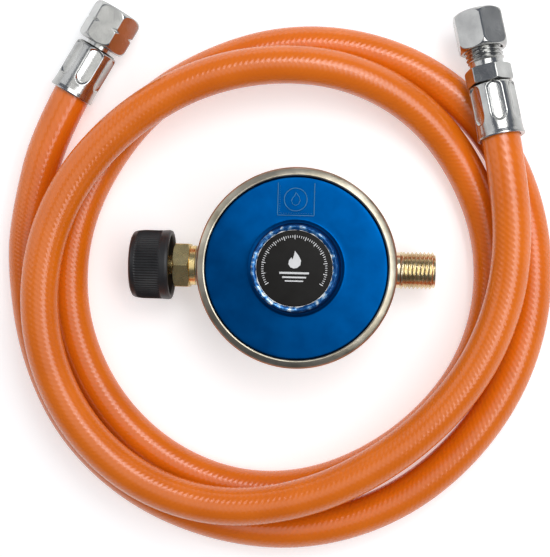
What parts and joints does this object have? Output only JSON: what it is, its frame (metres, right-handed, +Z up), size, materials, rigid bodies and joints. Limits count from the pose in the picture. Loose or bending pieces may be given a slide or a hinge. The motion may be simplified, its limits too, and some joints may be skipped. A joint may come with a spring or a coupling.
{
  "type": "propane regulator with hose",
  "caption": "Low-pressure gas regulator with a crimped round body, a ridged hand wheel and a threaded outlet, and its loose hose with a union nut and a compression fitting.",
  "frame": {"origin": "centre of the flat foot under the regulator, on its diaphragm axis", "axes": "+X towards the regulator's outlet, +Z up along the diaphragm axis, +Y to the side that both hose ends point to"},
  "size_m": [0.2057, 0.206, 0.0442],
  "materials": {
    "blue_paint": "glossy",
    "zinc_cast": "yellowish passivated",
    "brass": "machined",
    "black_plastic": "satin",
    "label_black": "smooth",
    "cap_metal": "plain",
    "orange_rubber": "fine ribbed",
    "seal_rubber": "matte",
    "plated_steel": "bright zinc plated",
    "plate_aluminium": "satin",
    "spring_steel": "drawn"
  },
  "bodies": {
    "regulator": {"lower_housing": "zinc_cast", "cover": "blue_paint", "adjusting_screw": "brass", "tower_cap": "cap_metal", "label_disc": "label_black", "diaphragm": "seal_rubber", "main_spring": "spring_steel", "lever_pin": "spring_steel", "inlet_nozzle": "brass", "inlet_filter": "plate_aluminium", "inlet_nipple": "brass", "inlet_seal": "seal_rubber", "outlet_stub": "brass"},
    "diaphragm_group": {"diaphragm_plate": "plate_aluminium", "diaphragm_stem": "brass", "stem_nut": "plated_steel"},
    "lever": {"lever": "plated_steel"},
    "valve": {"valve_stem": "brass", "valve_pad": "seal_rubber"},
    "wheel_washer": {"thrust_washer": "plated_steel"},
    "hand_wheel": {"hand_wheel": "black_plastic", "hand_wheel_insert": "brass"},
    "hose_assembly": {"hose": "orange_rubber", "ferrule_union": "plated_steel", "nipple_union": "plated_steel", "ferrule_compression": "plated_steel", "compression_body": "plated_steel"},
    "union_nut": {"union_nut": "plated_steel"},
    "cutting_ring": {"cutting_ring": "plated_steel"},
    "compression_nut": {"compression_nut": "plated_steel"}
  },
  "joints": [
    {"name": "diaphragm_stroke", "type": "slide", "parent": "regulator", "child": "diaphragm_group", "axis": [0, 0, 1], "range_m": [-0.0005, 0.0008], "stiffness_N_per_m": 600, "deforming": ["diaphragm", "main_spring"]},
    {"name": "lever_pivot", "type": "hinge", "parent": "regulator", "child": "lever", "pos_m": [-0.012, 0, 0.008], "axis": [0, -1, 0], "range_deg": [-2.6, 4.2]},
    {"name": "valve_slide", "type": "slide", "parent": "regulator", "child": "valve", "axis": [-1, 0, 0], "range_m": [-0.0003, 0.0005]},
    {"name": "hand_wheel_play", "type": "slide", "parent": "regulator", "child": "wheel_washer", "axis": [1, 0, 0], "range_m": [-0.0012, 0.0003]},
    {"name": "hand_wheel_spin", "type": "hinge", "parent": "wheel_washer", "child": "hand_wheel", "pos_m": [-0.055, 0, 0.0145], "axis": [1, 0, 0], "continuous": true},
    {"name": "hose_lift", "type": "slide", "parent": "regulator", "child": "hose_assembly", "axis": [0, 0, 1], "range_m": [0, 0.1]},
    {"name": "union_nut_spin", "type": "hinge", "parent": "hose_assembly", "child": "union_nut", "pos_m": [-0.07386, 0.08877, 0.0085], "axis": [0.4981, 0.8671, 0], "continuous": true},
    {"name": "cutting_ring_play", "type": "slide", "parent": "hose_assembly", "child": "cutting_ring", "axis": [-0.2109, 0.9686, -0.1316], "range_m": [-0.0003, 0.0005]},
    {"name": "compression_nut_spin", "type": "hinge", "parent": "hose_assembly", "child": "compression_nut", "pos_m": [0.06436, 0.08744, 0.01763], "axis": [-0.2109, 0.9686, -0.1316], "continuous": true}
  ],
  "couplings": [
    {"joint": "lever_pivot", "follows": "diaphragm_stroke", "rad_per_m": 83.333},
    {"joint": "valve_slide", "follows": "diaphragm_stroke", "ratio": 0.54167}
  ]
}
